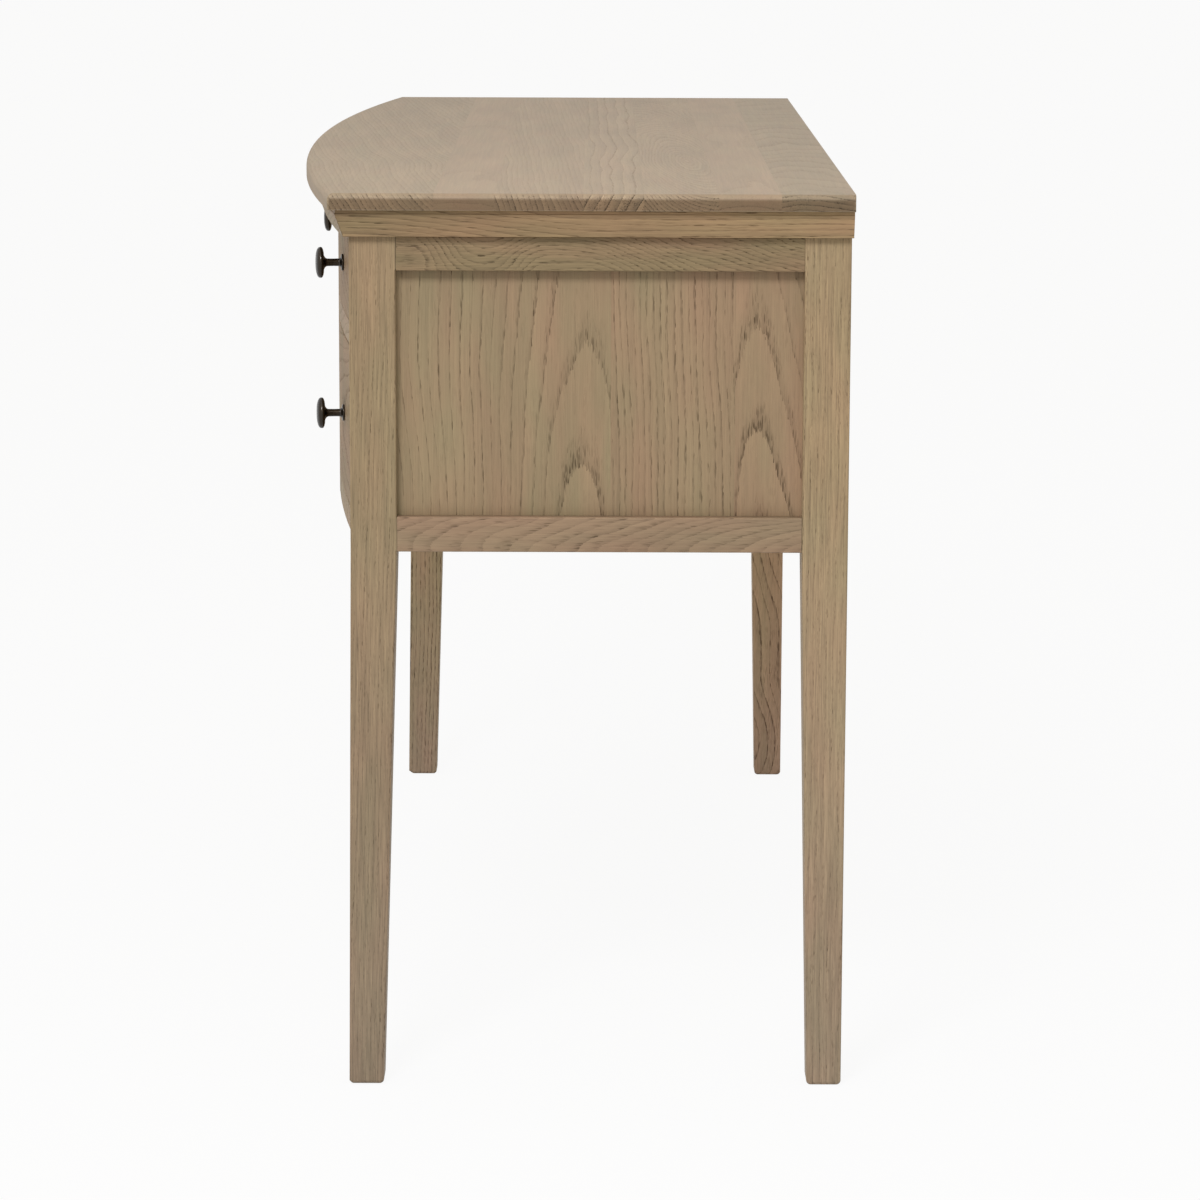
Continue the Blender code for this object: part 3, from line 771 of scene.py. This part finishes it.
def dress_carcase():
    eased("front_moulding", front_moulding_oak, runs("X"))
    for side in SIDES:
        eased(side + "_moulding", side_moulding_oak, runs("Y"))
    for side in SIDES:
        for end in ("front", "rear"):
            eased("%s_%s_leg" % (end, side), LEG_OAK[side], leg_arris, LEG_ARRIS, RAIL_LEVELS)
        eased(side + "_upper_side_rail", upper_rail_oak, outer("Y"))
        eased(side + "_lower_side_rail", lower_rail_oak, outer("Y"))
        eased(side + "_divider", divider_oak, outer("Z"))
        eased(side + "_mid_rail", front_rail_oak, outer("X"))
        eased(side + "_bottom_rail", front_rail_oak, outer("X"))
    eased("centre_rail", front_rail_oak, outer("X"))


# Drawers and their knobs; a knob is measured from the drawer's front, outwards

KNOB_RISE = 0.002
KNOB_RADIUS = 0.0138
KNOB_REACH = 0.0250
CROWN_DEPTH = 0.0046
BACK_DEPTH = 0.0032
PLUMP = 0.77
ROSETTE_RADIUS = 0.0074
ROSETTE_THICK = 0.0021
ROSETTE_ROUND = 0.0007
ROSETTE_EASE = 0.0002
COVE_RADIUS = 0.0024
COVE_END = 0.0046
NECK_RADIUS = 0.0034
WAIST_PLACE = 0.0090
WAIST_RADIUS = 0.0033
NECK_END = 0.0146
FLARE_LENGTH = 0.0034
FLARE_RISE = 0.0068
BOLT_RADIUS = 0.0020
BOLT_HEAD_RADIUS = 0.0045
BOLT_HEAD_THICK = 0.0025
BOLT_HEAD_ROUND = 0.0012
BOLT_HEAD_FLAT = 0.0031
SEAT = 0.0003
INSIDE = -0.0203


def arc(centre, radii, turns):
    """Points on an ellipse at turns in degrees; centre and radii are (along, radius) pairs."""
    return [(centre[0] + radii[0] * sin(radians(turn)), centre[1] + radii[1] * cos(radians(turn)))
            for turn in turns]


def plump(depth, turns):
    """Points of the head, rounder than an ellipse, on one side of its widest ring."""
    return [(KNOB_REACH - CROWN_DEPTH + depth * sin(radians(turn)) ** PLUMP,
             KNOB_RADIUS * cos(radians(turn)) ** PLUMP) for turn in turns]


def knob_profile():
    """Along and radius of the knob and its bolt, from the bolt's head to the knob's crown."""
    head_top = INSIDE - BOLT_HEAD_THICK
    head_centre = (INSIDE - BOLT_HEAD_ROUND, BOLT_HEAD_RADIUS - BOLT_HEAD_ROUND)
    bolt = [(head_top, 0.0), (head_top, BOLT_HEAD_FLAT)]
    bolt += arc(head_centre, (BOLT_HEAD_ROUND, BOLT_HEAD_ROUND), spaced(-80, 0, 4))
    bolt += [(INSIDE, BOLT_HEAD_RADIUS), (INSIDE, BOLT_RADIUS), (SEAT, BOLT_RADIUS)]
    rosette_centre = (ROSETTE_THICK - ROSETTE_ROUND, ROSETTE_RADIUS - ROSETTE_ROUND)
    rosette = [(SEAT, ROSETTE_RADIUS - ROSETTE_EASE), (SEAT + ROSETTE_EASE, ROSETTE_RADIUS)]
    rosette += arc(rosette_centre, (ROSETTE_ROUND, ROSETTE_ROUND), spaced(0, 80, 4))
    cove_centre = (COVE_END, NECK_RADIUS + COVE_RADIUS)
    cove = arc(cove_centre, (-COVE_RADIUS, -COVE_RADIUS), (80, 62, 44, 26, 10, 0))
    neck = [(WAIST_PLACE, WAIST_RADIUS), (NECK_END, NECK_RADIUS)]
    neck += arc((NECK_END, NECK_RADIUS + FLARE_RISE), (FLARE_LENGTH, -FLARE_RISE), (20, 40, 56, 68))
    head = plump(-BACK_DEPTH, spaced(52, 4, 7)) + plump(CROWN_DEPTH, spaced(0, 86, 14))
    return bolt + rosette + cove + neck + head + [(KNOB_REACH, 0.0)]


def make_knob(drawer):
    """Turned knob with its bolt, square to the bowed front."""
    low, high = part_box(drawer + "_front")
    middle = (low + high) / 2
    middle.z += KNOB_RISE
    out = -CENTRE_SETBACK if drawer == "centre_drawer" else 0.0
    seat = Vector((middle.x, bow_y(middle.x, out), middle.z))
    axis = (seat - Vector((0, BOW_CENTRE, middle.z))).normalized()
    stand = Matrix.Translation(seat) @ axis.to_track_quat('Z', 'Y').to_matrix().to_4x4()
    circle = spaced(0.0, 2 * pi, KNOB_SIDES)[:-1]
    profile = knob_profile()
    bm = bmesh.new()
    tips = [bm.verts.new(stand @ Vector((0, 0, along))) for along in (profile[0][0], profile[-1][0])]
    rings = [[bm.verts.new(stand @ Vector((radius * cos(t), radius * sin(t), along))) for t in circle]
             for along, radius in profile[1:-1]]
    for near, far in zip(rings, rings[1:]):
        bridge(bm, near, far)
    for i in range(KNOB_SIDES):
        j = (i + 1) % KNOB_SIDES
        bm.faces.new((tips[0], rings[0][j], rings[0][i]))
        bm.faces.new((tips[1], rings[-1][i], rings[-1][j]))
    add_piece(drawer + "_turned_knob", bm, dark_bronze, drawer, drawer + "_knob")


def dress_drawer(drawer):
    eased(drawer + "_front", front_oak, long_edge)
    for piece in ("_left_side", "_right_side"):
        eased(drawer + piece, box_side_oak, long_edge)
    eased(drawer + "_back", box_back_oak, long_edge)
    make_knob(drawer)


# Solids that keep their shape and only get their finish

def finish_flat_pieces():
    flat = {
        "rear_top_batten": front_rail_oak,
        "centre_back_panel": back_oak,
        "centre_dust_board": board_oak,
    }
    for side in SIDES:
        flat[side + "_side_panel"] = panel_oak
        flat[side + "_back_panel"] = back_oak
        flat[side + "_dust_board"] = board_oak
        flat[side + "_pedestal_floor"] = board_oak
    for drawer in DRAWERS:
        flat[drawer + "_bottom"] = box_ply
    for node, material in flat.items():
        mesh = frame["nodes"][node].data
        mesh.materials.clear()
        mesh.materials.append(material)


# Stage, lights and camera

FLOOR_SIZE = 60.0
FLOOR_PAPER = (0.80, 0.80, 0.80, 1.0)
FLOOR_GLOW = 0.92
WHITE = (1.0, 1.0, 1.0, 1.0)
STUDIO_TONE = (1.0, 0.95, 0.87, 1.0)
STUDIO_LEVEL = 0.56
LAMP_TONE = (0.98, 1.0, 1.05)

CAMERA_PLACE = Vector((4.0053, 0.0291, 1.0824))
CAMERA_PITCH = 0.1642
CAMERA_YAW = -0.0014
CAMERA_ROLL = 0.0036
CAMERA_LENS = 121.12
CAMERA_RISE = -1 / 12
FILM_WIDTH = 36.0


def make_floor():
    """Wide white floor that keeps the table's shadow."""
    bm = bmesh.new()
    bmesh.ops.create_grid(bm, x_segments=1, y_segments=1, size=FLOOR_SIZE)
    mesh = bpy.data.meshes.new("floor")
    bm.to_mesh(mesh)
    bm.free()
    recipe = Recipe(bpy.data.materials.new("floor_white"))
    paper = recipe.node("ShaderNodeBsdfDiffuse", {}, {"Color": FLOOR_PAPER})
    glow = recipe.node("ShaderNodeEmission", {}, {"Color": WHITE, "Strength": 1.0})
    seen = recipe.backdrop_rays() * FLOOR_GLOW
    mixed = recipe.node("ShaderNodeMixShader", {}, {0: seen, 1: paper, 2: glow})
    mesh.materials.append(recipe.finish(mixed))
    floor = bpy.data.objects.new("floor", mesh)
    bpy.context.scene.collection.objects.link(floor)


def make_world():
    """Even studio light, in front of a background that shows white."""
    recipe = Recipe(bpy.data.worlds.new("studio"))
    light = recipe.node("ShaderNodeBackground", {}, {"Color": STUDIO_TONE, "Strength": STUDIO_LEVEL})
    white = recipe.node("ShaderNodeBackground", {}, {"Color": WHITE, "Strength": 1.0})
    mixed = recipe.node("ShaderNodeMixShader", {}, {0: recipe.backdrop_rays(), 1: light, 2: white})
    bpy.context.scene.world = recipe.finish(mixed, "ShaderNodeOutputWorld")


def make_softbox(name, place, aim, width, power):
    """Square lamp of a width in metres and a power in watts, turned to where it aims."""
    lamp = bpy.data.lights.new(name, 'AREA')
    lamp.color = LAMP_TONE
    lamp.shape = 'SQUARE'
    lamp.size = width
    lamp.energy = power
    softbox = bpy.data.objects.new(name, lamp)
    softbox.location = place
    softbox.rotation_euler = (Vector(aim) - Vector(place)).to_track_quat('-Z', 'Y').to_euler()
    bpy.context.scene.collection.objects.link(softbox)


def make_camera():
    """Camera at the photograph's place, beyond the table's right end."""
    camera = bpy.data.cameras.new("camera")
    camera.lens = CAMERA_LENS
    camera.sensor_width = FILM_WIDTH
    camera.shift_y = CAMERA_RISE
    forward = Vector((-cos(CAMERA_YAW) * cos(CAMERA_PITCH), -sin(CAMERA_YAW) * cos(CAMERA_PITCH),
                      -sin(CAMERA_PITCH)))
    level = Vector((-sin(CAMERA_YAW), cos(CAMERA_YAW), 0.0))
    upright = level.cross(forward)
    right = level * cos(CAMERA_ROLL) + upright * sin(CAMERA_ROLL)
    up = upright * cos(CAMERA_ROLL) - level * sin(CAMERA_ROLL)
    turn = Matrix((right, up, -forward)).transposed()
    camera_object = bpy.data.objects.new("camera", camera)
    camera_object.matrix_world = Matrix.Translation(CAMERA_PLACE) @ turn.to_4x4()
    bpy.context.scene.collection.objects.link(camera_object)
    bpy.context.scene.camera = camera_object


make_top()
dress_carcase()
for drawer in DRAWERS:
    dress_drawer(drawer)
finish_flat_pieces()
make_floor()
make_world()
make_softbox("key_softbox", place=(2.7, -0.75, 2.6), aim=(0.4, 0.0, 0.5), width=0.8, power=46.0)
make_softbox("overhead_softbox", place=(0.9, 0.0, 2.5), aim=(0.3, 0.0, 0.7), width=2.0, power=7.0)
make_camera()
bpy.context.scene.view_settings.view_transform = 'Standard'
